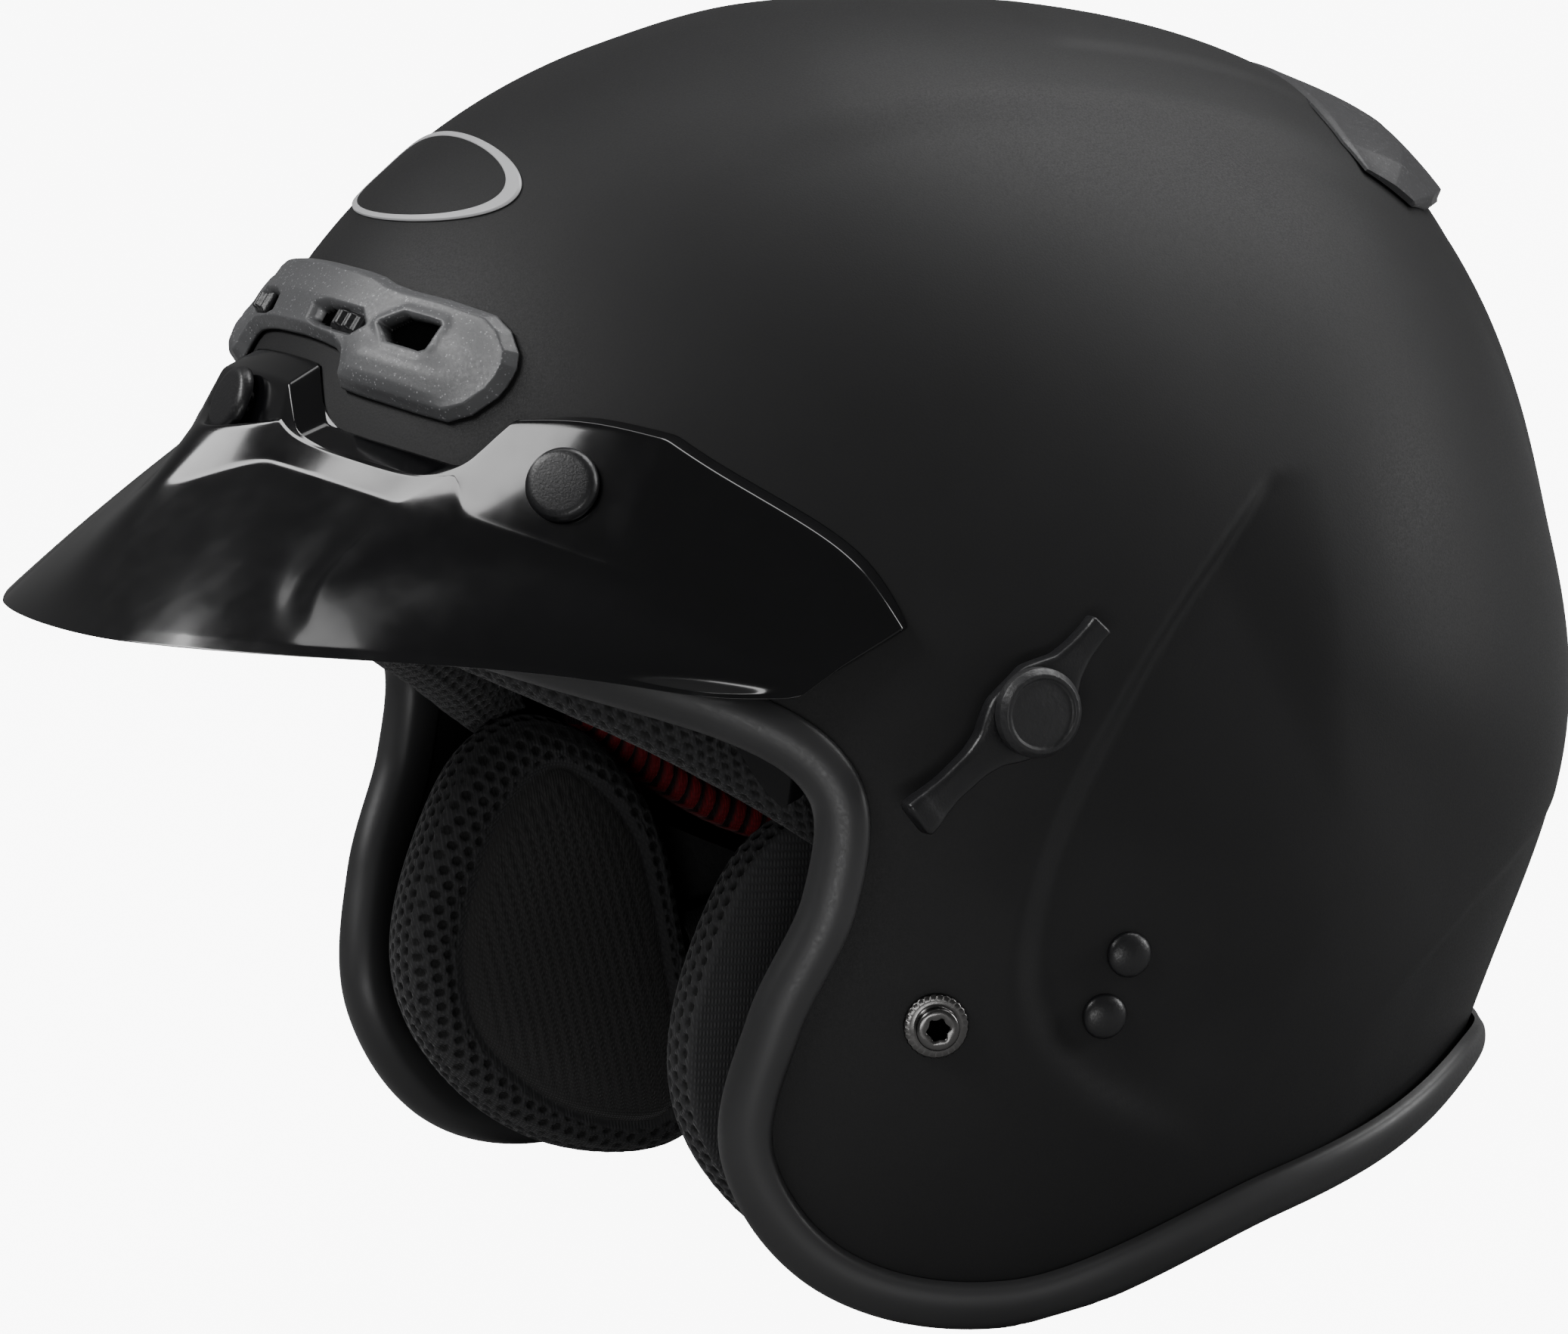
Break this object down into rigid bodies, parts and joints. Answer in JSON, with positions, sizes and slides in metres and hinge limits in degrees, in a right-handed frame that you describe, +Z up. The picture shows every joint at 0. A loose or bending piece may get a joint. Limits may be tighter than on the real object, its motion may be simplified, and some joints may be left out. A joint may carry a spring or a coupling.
{
  "type": "open-face motorcycle helmet",
  "caption": "Matte black open-face motorcycle helmet with a detachable gloss peak, grey brow and rear vents, padded liner, riveted chin strap and a drop-down sun lens on a temple lever.",
  "frame": {"origin": "middle of the bounding box, on the floor plane that both cheeks and the neck edge rest on", "axes": "+Z up as it stands on its lower edge, -Y to the front of the face opening, +X to the wearer's left"},
  "size_m": [0.2572, 0.3104, 0.2406],
  "materials": {
    "matte_shell": "matte near-black paint",
    "trim_rubber": "satin dark grey",
    "black_foam": "matte foam",
    "brushed_fabric": "brushed",
    "red_fabric": "woven ribs",
    "air_mesh": "three-dimensional mesh",
    "gloss_peak": "gloss black",
    "speckled_grey": "speckled satin grey",
    "silver_badge": "silver",
    "smoke_lens": "smoke tinted",
    "strap_webbing": "woven webbing",
    "steel": "satin",
    "dark_chrome": "dark chrome",
    "black_plastic": "satin black"
  },
  "bodies": {
    "helmet": {"brow_pad": "air_mesh", "brow_vent_cover": "speckled_grey", "cheek_pad_left": "air_mesh", "cheek_pad_right": "air_mesh", "chin_strap_left": "strap_webbing", "chin_strap_right": "strap_webbing", "crown_liner": "brushed_fabric", "edge_trim": "trim_rubber", "eps_cheek_left": "black_foam", "eps_cheek_right": "black_foam", "eps_crown": "black_foam", "front_badge": "silver_badge", "lens_base_left": "black_plastic", "lens_base_right": "black_plastic", "lens_pin_right": "steel", "liner_band": "red_fabric", "neck_roll": "brushed_fabric", "outer_shell": "matte_shell", "peak": "gloss_peak", "peak_cap_centre": "black_plastic", "peak_cap_left": "black_plastic", "peak_cap_right": "black_plastic", "peak_stud_centre": "dark_chrome", "peak_stud_left": "dark_chrome", "peak_stud_right": "dark_chrome", "rear_vent": "speckled_grey", "snap_stud_left": "dark_chrome", "snap_stud_right": "dark_chrome", "strap_keeper": "black_plastic", "strap_plate_left": "steel", "strap_plate_right": "steel", "strap_rivet_left_lower": "black_plastic", "strap_rivet_left_upper": "black_plastic", "strap_rivet_right_lower": "black_plastic", "strap_rivet_right_upper": "black_plastic"},
    "lens_and_lever": {"sun_lens": "smoke_lens", "lens_hub_left": "black_plastic", "lens_hub_right": "black_plastic", "lever_shaft": "steel", "lens_lever": "black_plastic", "lever_knob": "black_plastic"},
    "slider_left": {"vent_slider_left": "black_plastic"},
    "slider_right": {"vent_slider_right": "black_plastic"},
    "ring_outer": {"d_ring_outer": "steel"},
    "ring_inner": {"d_ring_inner": "steel"}
  },
  "joints": [
    {"name": "sun_lens_turn", "type": "hinge", "parent": "helmet", "child": "lens_and_lever", "pos_m": [-0.00192, -0.01007, 0.11829], "axis": [1, 0, 0], "range_deg": [0, 40]},
    {"name": "brow_slider_left", "type": "slide", "parent": "helmet", "child": "slider_left", "axis": [-0.9787, -0.139, 0.1513], "range_m": [0, 0.0065]},
    {"name": "brow_slider_right", "type": "slide", "parent": "helmet", "child": "slider_right", "axis": [0.9787, -0.139, 0.1513], "range_m": [0, 0.0065]},
    {"name": "strap_ring_outer_swing", "type": "hinge", "parent": "helmet", "child": "ring_outer", "pos_m": [0.05888, -0.00478, 0.02847], "axis": [0, 1, 0], "range_deg": [-30, 0]},
    {"name": "strap_ring_inner_swing", "type": "hinge", "parent": "helmet", "child": "ring_inner", "pos_m": [0.05528, -0.00478, 0.02847], "axis": [0, 1, 0], "range_deg": [0, 60]}
  ]
}
